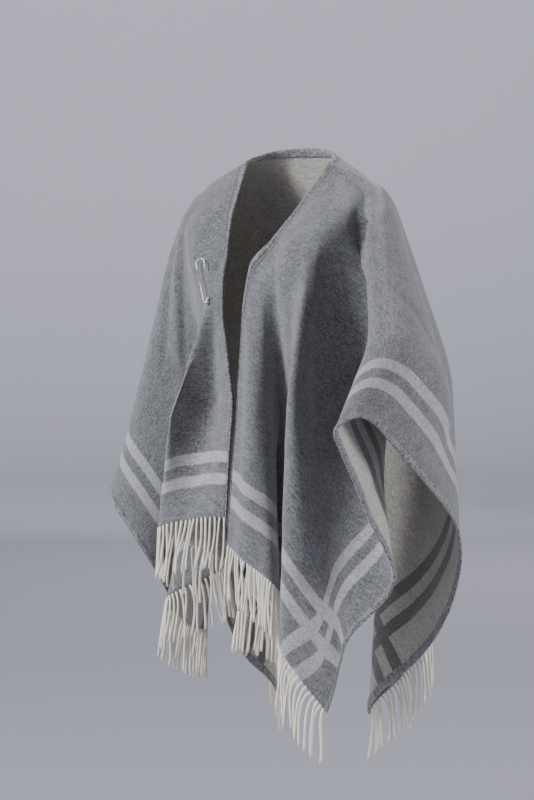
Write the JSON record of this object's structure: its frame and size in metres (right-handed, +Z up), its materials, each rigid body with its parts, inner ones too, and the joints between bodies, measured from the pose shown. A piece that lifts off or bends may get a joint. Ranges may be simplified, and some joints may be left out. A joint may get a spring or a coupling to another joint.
{
  "type": "open-front fringed wool cape",
  "caption": "Open-front woven wool cape in its worn form, hollow, with a V neck, turned edges, fringed hems and a kilt pin.",
  "frame": {"origin": "on the shoulder line, midway between the two sides of the neck edge, where the wearer's shoulders hold the cape up", "axes": "+Z up, the wearer faces -Y, and the wearer's left arm is at +X"},
  "size_m": [0.7875, 0.6412, 1.1014],
  "materials": {
    "grey_wool": "brushed grey melange wool",
    "turned_wool": "the same wool, turned and stitched",
    "ivory_fringe": "twisted ivory yarn",
    "silver_wire": "bright drawn wire"
  },
  "bodies": {
    "root": {"back": "grey_wool", "front_left": "grey_wool", "front_right": "grey_wool", "neck_hem": "turned_wool", "side_hem_left": "turned_wool", "side_hem_right": "turned_wool", "fringe_front_left": "ivory_fringe", "fringe_front_right": "ivory_fringe", "fringe_back": "ivory_fringe", "kilt_pin": "silver_wire", "pin_clasp": "silver_wire"}
  },
  "joints": []
}
